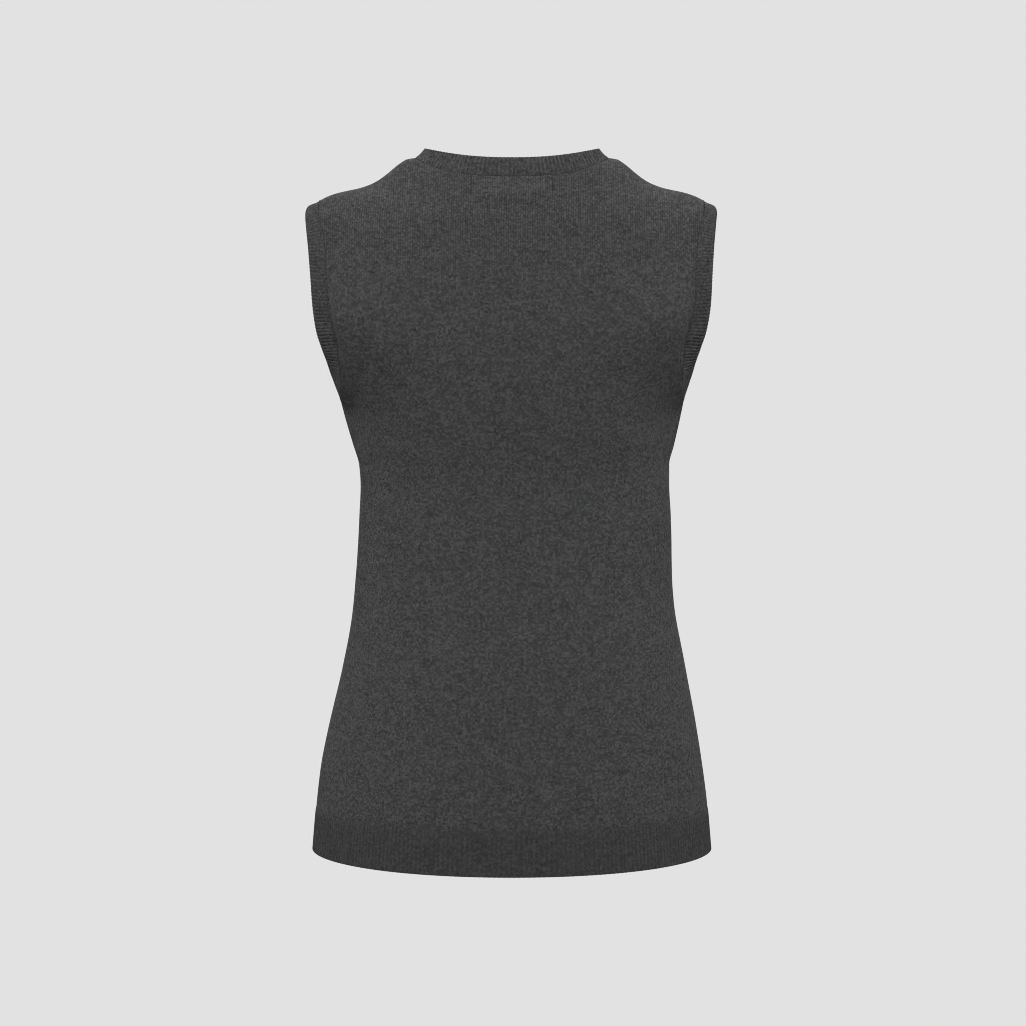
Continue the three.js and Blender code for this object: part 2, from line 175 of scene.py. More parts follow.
# Folds of the back and the front, given one by one. path is (x, z); height is positive for a ridge. A fold
# with "held" fades out near the sides, where the seams hold the cloth.
BACK_FOLDS = [
    {"path": [(162, -118), (124, -130), (82, -137), (57, -139)], "width": 38, "height": 8.4, "held": 8},
    {"path": [(-161, -116), (-121, -131), (-84, -136), (-60, -140)], "width": 38, "height": 8.6, "held": 8},
    {"path": [(154, -200), (124, -208), (88, -224)], "width": 25, "height": -6.0, "held": 10},
    {"path": [(-154, -199), (-122, -209), (-90, -225)], "width": 24, "height": -5.9, "held": 10},
    {"path": [(139, -146), (137.5, -174), (134.5, -198), (130.5, -219), (126, -236)],
     "width": 4.5, "height": -2.2, "held": 4},
    {"path": [(-138, -150), (-137, -172), (-133.5, -200), (-129, -222), (-124, -239)],
     "width": 4.5, "height": -2.1, "held": 4},
    {"path": [(137, -206), (120, -228), (98, -262), (84, -284)], "width": 8, "height": -1.1},
    {"path": [(-136, -212), (-122, -236), (-104, -258)], "width": 9, "height": -1.3},
    {"path": [(133, -238), (117, -262), (106, -292)], "width": 6, "height": 0.7},
    {"path": [(-131, -246), (-112, -276), (-103, -312)], "width": 6.5, "height": 0.6},
    {"path": [(127, -291), (102, -300), (76, -296)], "width": 7, "height": -0.8},
    {"path": [(-127, -300), (-108, -312), (-88, -314)], "width": 6, "height": -0.7},
    {"path": [(3, -196), (-2, -262), (1, -330)], "width": 20, "height": -1.2},
    {"path": [(58, -402), (63, -462), (66, -540)], "width": 13, "height": 1.2},
    {"path": [(-61, -420), (-64, -480), (-62, -548)], "width": 12, "height": 1.3},
    {"path": [(112, -440), (122, -500), (128, -560)], "width": 10, "height": -0.9},
    {"path": [(-118, -452), (-126, -516), (-129, -566)], "width": 9, "height": -0.8},
    {"path": [(90, -34), (112, -62), (127, -104)], "width": 9, "height": 0.7},
    {"path": [(-88, -38), (-108, -60), (-121, -94)], "width": 8, "height": 0.8},
]
FRONT_FOLDS = [
    {"path": [(132, -182), (112, -192), (88, -204)], "width": 7, "height": -1.4},
    {"path": [(-131, -176), (-108, -190), (-92, -200)], "width": 8, "height": -1.2},
    {"path": [(58, -232), (66, -280), (62, -344)], "width": 10, "height": 1.5},
    {"path": [(-56, -236), (-62, -292), (-66, -330)], "width": 11, "height": 1.4},
    {"path": [(118, -252), (98, -276), (84, -306)], "width": 8, "height": -1.1},
    {"path": [(-120, -262), (-101, -282), (-82, -322)], "width": 7, "height": -1.0},
    {"path": [(-3, -178), (2, -240), (0, -292)], "width": 17, "height": -2.4},
    {"path": [(44, -424), (49, -486), (47, -552)], "width": 13, "height": 1.2},
    {"path": [(-72, -410), (-70, -470), (-74, -544)], "width": 12, "height": 1.3},
    {"path": [(-8, -432), (-5, -500), (-9, -560)], "width": 12, "height": -0.9},
    {"path": [(122, -448), (130, -512), (133, -566)], "width": 9, "height": -0.9},
]

# Faint raised oblong under the back of the neck. It stands out most at its lower edge.
NECK_PATCH = {"half_width": 32.5, "top": -18, "bottom": -35, "height": 1.6, "edge": 1.0, "groove": 0.5}


def mix(a, b, t):
    return a + (b - a) * t


def unit(vectors):
    return vectors / np.maximum(np.linalg.norm(vectors, axis=-1, keepdims=True), 1e-9)


def path_length(points):
    """Length from the first point to each point of a line."""
    steps = np.linalg.norm(np.diff(points, axis=0), axis=-1)
    return np.concatenate([[0], np.cumsum(steps)])


def edge_spaced(length, step, fine=(0.35, 0.8, 1.5, 2.6)):
    """Shares from 0 to 1 along a length, a step apart, and closer at the far end."""
    even = np.linspace(0, 1 - (fine[-1] + step / 2) / length, max(2, round(length / step)))
    return np.concatenate([even, 1 - np.array(fine[::-1]) / length, [1]])


def arm_point(loop, angle):
    """Point of an armhole loop. The angle is 0 at the underarm, 90 at the back and 180 at the shoulder."""
    share = (1 - np.cos(angle)) / 2
    z = mix(loop["bottom"], loop["top"], share)
    sine = np.sin(angle)
    is_back = sine >= 0
    y = mix(SIDE_SEAM_Y, SHOULDER_TIP[1], share) + sine * np.where(is_back, loop["back"], loop["front"])
    x = np.where(is_back, loop["back_x"](z), loop["front_x"](z))
    return np.stack([x, y, z], -1)


ROW_STEP = 3.6
ARM_ROW_STEP = 3.4
HALF_COLUMN_SHARES = edge_spaced(215, 3.4)


def panel_rows(face):
    """Rows of a panel from the hem seam to the neck seam: one array for each value."""
    sign = face["sign"]
    low, tip, neck = face["rise"]
    body = RIB_TOP_Z - UNDERARM_Z
    t = 1 - edge_spaced(-body, ROW_STEP)[::-1]
    z = mix(RIB_TOP_Z, UNDERARM_Z, t)
    y = mix(HEM_SEAM_Y, SIDE_SEAM_Y, (z - HEM_Z) / (UNDERARM_Z - HEM_Z))
    half = np.full_like(t, 0.5)
    parts = [(np.stack([SIDE(z), y, z], -1), y, z, 2 + 0.35 * t, half, np.full_like(t, low), t * 0)]

    angles = np.linspace(0, math.pi, 600)
    lengths = path_length(arm_point(ARM_SEAM, sign * angles))
    arm = lengths[-1]
    shoulder = np.linalg.norm(SHOULDER_TIP - NECK_POINT)

    def above(length):
        return mix(UNDERARM_Z, face["neck_z"], (length / (arm + shoulder)) ** face["lift"])

    t = np.linspace(0, 1, round(arm / ARM_ROW_STEP) + 1)[1:]
    angle = np.interp(t * arm, lengths, angles)
    end = arm_point(ARM_SEAM, sign * angle)
    side_y = mix(SIDE_SEAM_Y, SHOULDER_TIP[1], t)
    section = mix(0.5, TIP_ROUND, t**2)
    parts.append((end, side_y, above(t * arm), 2.35 - 0.15 * t, section, mix(low, tip, t), angle))

    t = edge_spaced(shoulder, ROW_STEP)[1:]
    end = mix(SHOULDER_TIP, NECK_POINT, t[:, None])
    end[:, 2] = SHOULDER(end[:, 0])
    z = above(arm + shoulder * t)
    parts.append((end, end[:, 1], z, 2.2 - 0.2 * t, mix(TIP_ROUND, 0.5, t), mix(tip, neck, t), t * 0))
    names = ("end", "side_y", "z", "square", "round", "rise", "angle")
    rows = {name: np.concatenate([part[i] for part in parts]) for i, name in enumerate(names)}
    first = len(parts[0][0])
    last = first + len(parts[1][0])
    row = np.arange(len(rows["z"]))
    rows["is_arm"] = (row >= first - 1) & (row < last)
    rows["first_arm"] = first - 1
    return rows


def panel_points(face, rows):
    """Points of a panel's outer face, by row and by column, on the plain form."""
    share = np.concatenate([-HALF_COLUMN_SHARES[:0:-1], HALF_COLUMN_SHARES])[None]
    end = rows["end"][:, None]
    side_y, row_z, square, round_it, rise = (
        rows[name][:, None] for name in ("side_y", "z", "square", "round", "rise")
    )
    x = end[..., 0] * np.sin(np.abs(share) * math.pi / 2)
    depth = face["centre"](row_z) - face["sign"] * side_y
    end_depth = np.maximum(0, face["sign"] * (end[..., 1] - side_y)) / depth
    width = end[..., 0] / (1 - end_depth ** (1 / round_it)) ** (1 / square)
    y = side_y + face["sign"] * depth * np.maximum(0, 1 - (x / width) ** square) ** round_it
    z = mix(row_z, end[..., 2], (x / end[..., 0]) ** rise)
    return np.stack([x * np.sign(share), y, z], -1)


def grid_inward(points, middle=(0, 0, -290)):
    """Direction into the wall at each point of a grid of rows and columns."""
    down = np.gradient(points, axis=0)
    across = np.gradient(points, axis=1)
    normal = unit(np.cross(across, down))
    to_middle = np.array(middle) - points
    facing = np.sign((normal * to_middle).sum(-1, keepdims=True).mean())
    return normal * facing


def fold_height(points, folds):
    """How far the folds lift the cloth at each point."""
    flat = points[..., [0, 2]]
    total = np.zeros(flat.shape[:-1])
    for fold in folds:
        path = np.array(fold["path"], float)
        lengths = path_length(path)
        nearest = np.full(total.shape, np.inf)
        along = np.zeros(total.shape)
        for a, b, start in zip(path[:-1], path[1:], lengths):
            step = b - a
            t = np.clip(((flat - a) @ step) / (step @ step), 0, 1)
            gap = np.linalg.norm(flat - (a + t[..., None] * step), axis=-1)
            closer = gap < nearest
            nearest = np.where(closer, gap, nearest)
            along = np.where(closer, start + t * np.linalg.norm(step), along)
        height = fold["height"] * np.sin(math.pi * np.clip(along / lengths[-1], 0.02, 0.98)) ** 0.7
        if "held" in fold:
            height = height * (1 - np.exp(-((edge_distance(points) / fold["held"]) ** 2)))
        total += height * np.exp(-((nearest / fold["width"]) ** 2))
    return total


def patch_height(points):
    """Height of the faint raised oblong under the back of the neck, with a groove down each side."""
    side = NECK_PATCH["half_width"] - np.abs(points[..., 0])
    below = points[..., 2] - NECK_PATCH["bottom"]
    down = np.clip((NECK_PATCH["top"] - points[..., 2]) / (NECK_PATCH["top"] - NECK_PATCH["bottom"]), 0, 1)
    inside = 1 / (1 + np.exp(-side / NECK_PATCH["edge"] * 2))
    inside = inside / (1 + np.exp(-below / NECK_PATCH["edge"] * 1.2))
    groove = np.exp(-(((side + 0.6) / 1.3) ** 2)) * np.clip(below / 4, 0, 1)
    return NECK_PATCH["height"] * down * inside - NECK_PATCH["groove"] * groove


def stitch_rows(face, rows, points):
    """Stitch coordinates of a panel: wales from the centre line, and courses from the hem seam."""
    steps = np.diff(points, axis=1)
    above = np.clip((rows["z"] - UNDERARM_Z) / (face["neck_z"] - UNDERARM_Z), 0, 1)[:, None]
    width = np.hypot(steps[..., 0], steps[..., 1] * (1 - above))
    across = np.concatenate([np.zeros((len(points), 1)), np.cumsum(width, axis=1)], axis=1)
    across -= across[:, across.shape[1] // 2][:, None]
    z = np.linspace(RIB_TOP_Z, face["neck_z"], 300)
    up = path_length(np.stack([face["centre"](z), z], -1))
    z = np.append(z, face["neck_z"] + 100)
    up = np.append(up, up[-1] + 130)
    return np.stack([across / WALE, np.interp(points[..., 2], z, up) / COURSE], -1)


def side_distance(points):
    """Distance of each point of a grid to the nearer end of its row."""
    across = np.linalg.norm(np.diff(points, axis=1), axis=-1)
    left = np.concatenate([np.zeros((len(points), 1)), np.cumsum(across, axis=1)], axis=1)
    return np.minimum(left, left[:, -1:] - left)


def edge_distance(points):
    """Straight distance of each point of a grid to the nearest row end, on the same side of the middle."""
    nearest = np.full(points.shape[:2], np.inf)
    middle = points.shape[1] // 2
    for end, half in ((0, slice(0, middle)), (-1, slice(middle, None))):
        for place in points[:, end]:
            nearest[:, half] = np.minimum(nearest[:, half], np.linalg.norm(points[:, half] - place, axis=-1))
    return nearest


def end_distance(points):
    """Distance of each point of a grid to the nearer end of its column."""
    along = np.linalg.norm(np.diff(points, axis=0), axis=-1)
    low = np.concatenate([np.zeros((1, points.shape[1])), np.cumsum(along, axis=0)], axis=0)
    return np.minimum(low, low[-1:] - low)


def arm_dip(angle):
    """Depth of the armhole seam at an angle of the armhole, deepest between the underarm and the back."""
    from_underarm = np.minimum(angle, 2 * math.pi - angle)
    return SEAM_DIP + ARM_DIP * np.sin(2 * np.minimum(from_underarm, math.pi / 2))


def sunk(distance):
    """How much of a seam's depth is left at a distance from it."""
    return np.exp(-((distance / SEAM_REACH) ** 2))


def panel_grid(face, folds):
    """Outer points, inward directions and stitch coordinates of a panel."""
    rows = panel_rows(face)
    points = panel_points(face, rows)
    points[~rows["is_arm"], 0, 1] += face["sign"] * GAP / 2
    points[~rows["is_arm"], -1, 1] += face["sign"] * GAP / 2
    uv = stitch_rows(face, rows, points)
    inward = grid_inward(points)
    inward[0, :, 2] = 0
    inward[~rows["is_arm"], 0, 1] = 0
    inward[~rows["is_arm"], -1, 1] = 0
    inward = unit(inward)
    height = fold_height(points, folds)
    if face is BACK:
        height += patch_height(points)
    side_dip = np.where(rows["is_arm"], arm_dip(rows["angle"]), SEAM_DIP)[:, None]
    dip = np.maximum(side_dip * sunk(side_distance(points)), SEAM_DIP * sunk(end_distance(points)))
    outer = points - inward * (height - dip)[..., None]
    return {"rows": rows, "outer": outer, "inward": inward, "uv": uv, "dip": dip}


def swayed(points):
    """The points, moved sideways as the worn garment sways."""
    points = points.copy()
    points[..., 0] += SWAY(points[..., 2])
    return points


def cloth_mesh(name, loops, uv, is_ring, outer_count, materials):
    """A closed wall. Each column of `loops` is a closed loop over the outer face and back over the inner."""
    columns, count = loops.shape[:2]
    vertices = swayed(loops).reshape(-1, 3) * MM
    spans = columns if is_ring else columns - 1
    c, p = np.meshgrid(np.arange(spans), np.arange(count), indexing="ij")
    c2, p2 = (c + 1) % columns, (p + 1) % count
    quads = np.stack([c * count + p, c2 * count + p, c2 * count + p2, c * count + p2], -1).reshape(-1, 4)
    corner_uv = np.stack([uv[c, p], uv[c + 1, p], uv[c + 1, p2], uv[c, p2]], 2).reshape(-1, 4, 2)
    inside = ((p >= outer_count - 1) & (p < count)).reshape(-1)
    if not is_ring:
        i = np.arange(count // 2 - 1)
        far = (columns - 1) * count
        near_cap = np.stack([i, i + 1, count - 2 - i, count - 1 - i], -1)
        far_cap = near_cap[:, ::-1] + far
        caps = np.concatenate([near_cap, far_cap])
        quads = np.concatenate([quads, caps])
        flat_uv = uv[:columns].reshape(-1, 2)
        corner_uv = np.concatenate([corner_uv, flat_uv[caps]])
        inside = np.concatenate([inside, np.zeros(len(caps), bool)])
    a, b, d = (vertices[quads[:, k]] for k in (0, 1, 2))
    if np.einsum("ij,ij->i", a, np.cross(b, d)).sum() < 0:
        quads = quads[:, ::-1]
        corner_uv = corner_uv[:, ::-1]
    mesh = bpy.data.meshes.new(name)
    mesh.from_pydata(vertices.tolist(), [], quads.tolist())
    layer = mesh.uv_layers.new(name="Knit")
    layer.data.foreach_set("uv", np.ascontiguousarray(corner_uv, np.float32).ravel())
    for material in materials:
        mesh.materials.append(material)
    mesh.polygons.foreach_set("material_index", inside.astype(np.int32))
    mesh.polygons.foreach_set("use_smooth", np.ones(len(quads), bool))
    mesh.update()
    mesh.set_sharp_from_angle(angle=math.radians(80))
    obj = bpy.data.objects.new(name, mesh)
    bpy.context.scene.collection.objects.link(obj)
    return obj


def panel(name, grid, materials):
    outer = grid["outer"]
    thick = KNIT_WALL - 0.3 * grid["dip"]
    inner = outer + grid["inward"] * thick[..., None]
    loops = np.concatenate([outer, inner[::-1]], axis=0).transpose(1, 0, 2)
    uv = np.concatenate([grid["uv"], grid["uv"][::-1]], axis=0).transpose(1, 0, 2)
    return cloth_mesh(name, loops, uv, False, len(outer), materials)


RIB_SAMPLES = 8
RIB_LIP = 0.5           # how far a free edge is rounded out


def rib_relief(place):
    """Height of a rib band's outer face at a place counted in ribs: round ribs and narrow furrows."""
    return RIB_RELIEF * (2 * np.abs(np.cos(math.pi * place)) ** 0.8 - 1)


def rib_loops(outer, inward, place, strength):
    """Loops over a rib band: out along `outer` rows, round the free edge, and back along the inner face.
    strength is the share of the full relief in each row."""
    strength = strength[:, None]
    relief = rib_relief(place)[None] * strength
    purl = rib_relief(place + 0.5)[None] * strength
    out = outer - inward * relief[..., None]
    inn = outer + inward * (RIB_WALL + purl)[..., None]
    centre = (out[-1] + inn[-1]) / 2
    half = (out[-1] - inn[-1]) / 2
    onward = unit(outer[-1] - outer[-2]) * RIB_LIP
    turns = np.radians([30, 60, 90, 120, 150])
    rim = [centre + half * math.cos(turn) + onward * math.sin(turn) for turn in turns]
    return np.concatenate([out, np.array(rim), inn[::-1]], axis=0).transpose(1, 0, 2)


def rib_uv(place, length, count, rim=5):
    """Stitch coordinates of rib loops: two wales for each rib, and courses from the seam."""
    out = np.linspace(0, length / RIB_STITCH, count)
    up = np.concatenate([out, np.full(rim, out[-1]), out[::-1]])
    u, v = np.meshgrid(place * 2 + 0.5, up, indexing="ij")
    return np.stack([u, v], -1)


HEM_ROWS = 15
HEM_GAP = 0.01          # the two hem strips nearly touch at the sides, so that no light passes
HEM_DROP = (0.6, -0.4)  # how far the soft edge hangs below the CAD edge, at the middle and at the sides


def hem_rib(name, face, folds, materials):
    """The ribbed strip under a panel."""
    sign = face["sign"]
    columns = RIB_SAMPLES * HEM_RIBS
    place = np.arange(columns + 1) / RIB_SAMPLES
    angle = math.pi * (place / HEM_RIBS - 0.5)
    low = HEM_Z - mix(*HEM_DROP, np.sin(angle) ** 4)
    z = mix(RIB_TOP_Z - GAP, low, np.linspace(0, 1, HEM_ROWS)[:, None])
    half = SIDE(z)
    depth = face["centre"](z) - GAP / 2
    x = half * np.sin(angle)
    y = sign * (HEM_GAP / 2 + depth * np.cos(angle))
    points = np.stack([x, y, z], -1)
    inward = unit(np.stack([-np.sin(angle) / half, -sign * np.cos(angle) / depth, 0 * x], -1))
    inward[:, [0, -1], 1] = 0
    inward = unit(inward)
    dip = SEAM_DIP * sunk(RIB_TOP_Z - z)
    outer = points - inward * (fold_height(points, folds) - dip)[..., None]
    strength = mix(0.45, 1, np.clip(np.linspace(0, HEM_ROWS / 2.5, HEM_ROWS), 0, 1))
    loops = rib_loops(outer, inward, place, strength)
    uv = rib_uv(place, RIB_TOP_Z - HEM_Z, HEM_ROWS)
    return cloth_mesh(name, loops, uv, False, HEM_ROWS + 3, materials)


def seam_at(stations, angle):
    """Point, inward direction and direction across a seam at each angle, between its stations."""
    known, points, inward, across = stations
    place = known[0] + (angle - known[0]) % (2 * math.pi)
    return tuple(
        np.stack([np.interp(place, known, values[:, k]) for k in range(3)], -1)
        for values in (points, inward, across)
    )


def seam_stations(angle, points, inward, flip):
    """A closed seam as angles, points, directions into the wall and directions across, off the panels."""
    along = unit(np.roll(points, -1, axis=0) - np.roll(points, 1, axis=0))
    across = flip * unit(np.cross(along, inward))
    first_again = np.array([angle[0] + 2 * math.pi])
    closed = [np.concatenate([values, values[:1]]) for values in (points, inward, across)]
    return (np.concatenate([angle, first_again]), *closed)


def ribbed_ring(name, stations, edge, ribs, bulge, seam_dip, relief, count, materials):
    """A ribbed ring from a seam to a free edge, its ribs evenly spaced along its middle. bulge gives how far
    it stands out at an angle and a share of its width, and seam_dip how deep its seam lies at an angle.
    relief is the share of the full relief at the seam, past the ramp and the width of that ramp."""
    samples = np.linspace(0, 2 * math.pi, 2881)
    middle = (seam_at(stations, samples)[0] + edge(samples)) / 2
    lengths = path_length(middle)
    columns = RIB_SAMPLES * ribs
    place = np.arange(columns) / RIB_SAMPLES
    angle = np.interp(lengths[-1] * place / ribs, lengths, samples)
    start, inward, across = seam_at(stations, angle)
    inward = unit(inward)
    start = start + unit(across) * GAP
    finish = edge(angle)
    along = unit(edge(angle + 1e-3) - edge(angle - 1e-3))
    inward_edge = unit(np.cross(finish - start, along))
    inward_edge *= np.sign((inward_edge * inward).sum(-1, keepdims=True))
    t = np.concatenate([[0, 0.03, 0.08], np.linspace(0.15, 1, count - 3)])[:, None, None]
    through = unit(mix(inward[None], inward_edge[None], t))
    outer = mix(start[None], finish[None], t) - through * bulge(angle[:, None], t)
    width = np.linalg.norm(finish - start, axis=-1)[None, :, None]
    outer = outer + through * seam_dip(angle)[:, None] * sunk(t * width)
    at_seam, past_ramp, ramp = relief
    strength = mix(at_seam, past_ramp, np.clip(t[:, 0, 0] / ramp, 0, 1))
    loops = rib_loops(outer, through, place, strength)
    uv = rib_uv(np.append(place, ribs), float(width.mean()), count)
    return cloth_mesh(name, loops, uv, True, count + 3, materials)


def mirrored(points, side):
    return points * np.array([side, 1, 1])


def arm_stations(back, front, side):
    """The armhole seam of one side, from the underarm over the back and the shoulder to the front."""
    edge = -1 if side > 0 else 0
    seam = {}
    for name, grid in (("back", back), ("front", front)):
        rows = grid["rows"]
        chosen = np.flatnonzero(rows["is_arm"])
        seam[name] = [rows["angle"][chosen], grid["outer"][chosen, edge], grid["inward"][chosen, edge]]
    front_angle, front_points, front_inward = seam["front"]
    back_angle, back_points, back_inward = seam["back"]
    for end in (0, -1):
        point = (back_points[end] + front_points[end]) / 2
        inward = unit(back_inward[end] + front_inward[end])
        back_points[end] = front_points[end] = point
        back_inward[end] = front_inward[end] = inward
    angle = np.concatenate([back_angle, 2 * math.pi - front_angle[-2:0:-1]])
    points = np.concatenate([back_points, front_points[-2:0:-1]])
    inward = np.concatenate([back_inward, front_inward[-2:0:-1]])
    return seam_stations(angle, points, inward, side)


def armband(name, back, front, side, materials):
    stations = arm_stations(back, front, side)

    def edge(angle):
        turn = np.floor(angle / (2 * math.pi)) * 2 * math.pi
        from_underarm = angle - turn
        is_back = from_underarm <= math.pi
        opened = np.where(is_back, from_underarm, 2 * math.pi - from_underarm)
        end = np.radians(ARM_RIB_END(np.degrees(opened)))
        return mirrored(arm_point(ARM_EDGE, np.where(is_back, end, -end)), side)

    def bulge(angle, t):
        return mix(*ARM_BULGE, (1 - np.cos(angle)) / 2) * np.sin(math.pi * t**2)

    band = ribbed_ring(name, stations, edge, ARM_RIBS, bulge, arm_dip, ARM_RELIEF, 14, materials)
    return band, stations


def neck_edge(angle):
    """Free edge of the neckband. The angle is 0 at the centre back and 90 degrees at the +X shoulder."""
    is_back = np.cos(angle) >= 0
    depth, z, rise = (np.where(is_back, b, f) for b, f in zip(NECK_EDGE["back"], NECK_EDGE["front"]))
    x = NECK_EDGE["x"] * np.sin(angle)
    y = NECK_EDGE["y"] + depth * np.cos(angle)
    return np.stack([x, y, mix(z, NECK_EDGE["z"], np.abs(np.sin(angle)) ** rise)], -1)


def neckband(name, back, front, materials):
    quarter = math.pi / 2
    share = np.concatenate([-HALF_COLUMN_SHARES[:0:-1], HALF_COLUMN_SHARES])
    back_points, front_points = back["outer"][-1].copy(), front["outer"][-1].copy()
    back_inward, front_inward = back["inward"][-1].copy(), front["inward"][-1].copy()
    for end in (0, -1):
        back_points[end] = (back_points[end] + front_points[end]) / 2
        back_inward[end] = unit(back_inward[end] + front_inward[end])
    angle = np.concatenate([share * quarter, (2 * quarter - share * quarter)[-2:0:-1]])
    points = np.concatenate([back_points, front_points[-2:0:-1]])
    inward = np.concatenate([back_inward, front_inward[-2:0:-1]])
    stations = seam_stations(angle, points, inward, -1)

    def bulge(angle, t):
        return mix(*NECK_BULGE, np.sin(angle) ** 2) * np.sin(math.pi * t)

    def seam_dip(angle):
        return SEAM_DIP + 0 * angle

    band = ribbed_ring(name, stations, neck_edge, NECK_RIBS, bulge, seam_dip, NECK_RELIEF, 11, materials)
    return band, stations


# Sewing

YARN_RADIUS = 0.3
YARN_SIDES = 5
LINK_STEP = 1.9         # length of a linking stitch
LINK_REACH = 0.75       # how far a stitch reaches over the seam to each side

# One linking stitch: share of its length, share of its reach, and depth in the cloth
LINK_STITCH = np.array([(0, -1, 0.4), (0.2, -0.4, -0.05), (0.4, 0.5, -0.05), (0.55, 1, 0.4), (0.78, 0, 0.75)])


def yarn(name, path, material):
    """A closed tube of yarn along a path."""
    along = unit(np.gradient(path, axis=0))
    side = unit(np.cross(along, np.array([0.31, 0.52, 0.79])))
    up = np.cross(along, side)
    turn = 2 * math.pi * np.arange(YARN_SIDES) / YARN_SIDES
    circle = side[:, None] * np.cos(turn)[:, None] + up[:, None] * np.sin(turn)[:, None]
    points = swayed(path[:, None] + circle * YARN_RADIUS).reshape(-1, 3) * MM
    faces = []
    for i in range(len(path) - 1):
        for k in range(YARN_SIDES):
            n = (k + 1) % YARN_SIDES
            a, b = i * YARN_SIDES, (i + 1) * YARN_SIDES
            faces.append((a + k, a + n, b + n, b + k))
    last = (len(path) - 1) * YARN_SIDES
    faces.append(tuple(range(YARN_SIDES))[::-1])
    faces.append(tuple(range(last, last + YARN_SIDES)))
    mesh = bpy.data.meshes.new(name)
    mesh.from_pydata(points.tolist(), [], faces)
    mesh.materials.append(material)
    mesh.polygons.foreach_set("use_smooth", np.ones(len(faces), bool))
    mesh.update()
    obj = bpy.data.objects.new(name, mesh)
    bpy.context.scene.collection.objects.link(obj)
    return obj


def linking(name, points, inward, across, material):
    """A row of linking stitches along a seam, their lengths a little uneven."""
    lengths = path_length(points)
    count = round(lengths[-1] / LINK_STEP)
    start = np.arange(count)[:, None] + LINK_STITCH[:, 0] + chance.uniform(-0.08, 0.08, (count, 1))
    where = np.clip(start.ravel() / count, 0, 1) * lengths[-1]
    reach = (LINK_STITCH[:, 1] * LINK_REACH * chance.uniform(0.8, 1.15, (count, 1))).ravel()[:, None]
    depth = np.tile(LINK_STITCH[:, 2], count)[:, None]
    centre, into, over = (
        np.stack([np.interp(where, lengths, values[:, k]) for k in range(3)], -1)
        for values in (points, inward, across)
    )
    return yarn(name, centre + unit(over) * reach + unit(into) * depth, material)


def side_line(back, front, end, first, last):
    """Points, inward directions and directions from back to front along the seam between two panels."""
    back_points, front_points = (grid["outer"][first:last, end] for grid in (back, front))
    back_inward, front_inward = (grid["inward"][first:last, end] for grid in (back, front))
    points = (back_points + front_points) / 2
    inward = unit(back_inward + front_inward)
    along = unit(np.gradient(points, axis=0))
    across = unit(np.cross(along, inward))
    return points, inward, across


# Materials

# How much stitches, streaks along the courses, fibres and blotches vary in tone
SPREAD = (0.57, 0.38, 1.6, 0.2)
HEM_SPREAD = (0.42, 0.3, 1.2, 0.2)
FIBRE_SCALE = 950.0
BLOTCH_SCALE = 75.0
STREAK_PACE = 0.16      # how fast a streak changes along its course, for each wale
COURSE_PACE = 3.7       # how far apart the courses lie in the streaks' noise
PAINTED_STITCH_SHADE = (0.3, 0.82)          # painted shade of a stitch's relief: how much lighter its raised top is, and the tone of its sunken edge
PAINTED_WALE_SHADE_RAMP = (-0.125, -0.05, 0.2, 1.0)      # heights in metres and the strength of the painted shade lines between the wales there
PAINTED_UNDERARM_LIGHT_Z = (-0.165, -0.12)        # heights in metres where the painted light towards the underarm is full and where it has faded out
PATCH_LINE_X = 0.0322   # where the painted shade lines down the oblong's sides lie, in metres
# How much painted light brightens the oblong, and how much painted shade darkens its side lines
PATCH_PAINTED_LIGHT = 0.09
PATCH_PAINTED_SHADE = 0.3
FIBRE_STRETCH = (1.0, 0.22, 1.0)    # the mottle is drawn out round the body's sides


class Graph:
    """Short names for adding shader nodes to a material."""

    def __init__(self, name):
        self.material = bpy.data.materials.new(name)
        self.material.use_nodes = True
        self.nodes = self.material.node_tree.nodes
        self.links = self.material.node_tree.links
        self.nodes.clear()

    def add(self, kind, inputs=None, **settings):
        node = self.nodes.new(kind)
        for name, value in settings.items():
            setattr(node, name, value)
        for name, value in (inputs or {}).items():
            if isinstance(value, bpy.types.NodeSocket):
                self.links.new(value, node.inputs[name])
            else:
                node.inputs[name].default_value = value
        return node

    def math(self, operation, *values):
        node = self.add("ShaderNodeMath", dict(enumerate(values)), operation=operation)
        return node.outputs[0]

    def point(self, x, y, z=0.0):
        return self.add("ShaderNodeCombineXYZ", {0: x, 1: y, 2: z}).outputs[0]

    def scaled(self, vector, factors):
        node = self.add("ShaderNodeVectorMath", {0: vector, 1: factors}, operation="MULTIPLY")
        return node.outputs[0]

    def ramp(self, value, start, end, low, high):
        """From low to high as the value goes from start to end, and level past them."""
        inputs = {0: value, 1: start, 2: end, 3: low, 4: high}
        return self.add("ShaderNodeMapRange", inputs).outputs[0]

    def noise(self, vector, scale, detail=2.0, dimensions="3D"):
        values = {"Vector": vector, "Scale": scale, "Detail": detail}
        return self.add("ShaderNodeTexNoise", values, noise_dimensions=dimensions).outputs["Fac"]


def oblong_painted_light_and_shade(graph, place):
    """Painted light and shade of the raised oblong under the back of the neck: a faint lighter inside, with a
    darker line of painted shade down each side.
    """
    split = graph.add("ShaderNodeSeparateXYZ", {0: place})
    x = graph.math("ABSOLUTE", split.outputs[0])
    z = split.outputs[2]
    inside = graph.ramp(x, 0.0315, 0.0325, 1.0, 0.0)
    lighter = graph.ramp(z, -0.031, -0.027, 0.0, PATCH_PAINTED_LIGHT)
    off_line = graph.math("ABSOLUTE", graph.math("SUBTRACT", x, PATCH_LINE_X))
    line = graph.ramp(off_line, 0.0002, 0.0013, 1.0, 0.0)
    darker = graph.ramp(z, -0.034, -0.031, 0.0, -PATCH_PAINTED_SHADE)
    return graph.math("MULTIPLY_ADD", inside, lighter, graph.math("MULTIPLY_ADD", line, darker, 1.0))


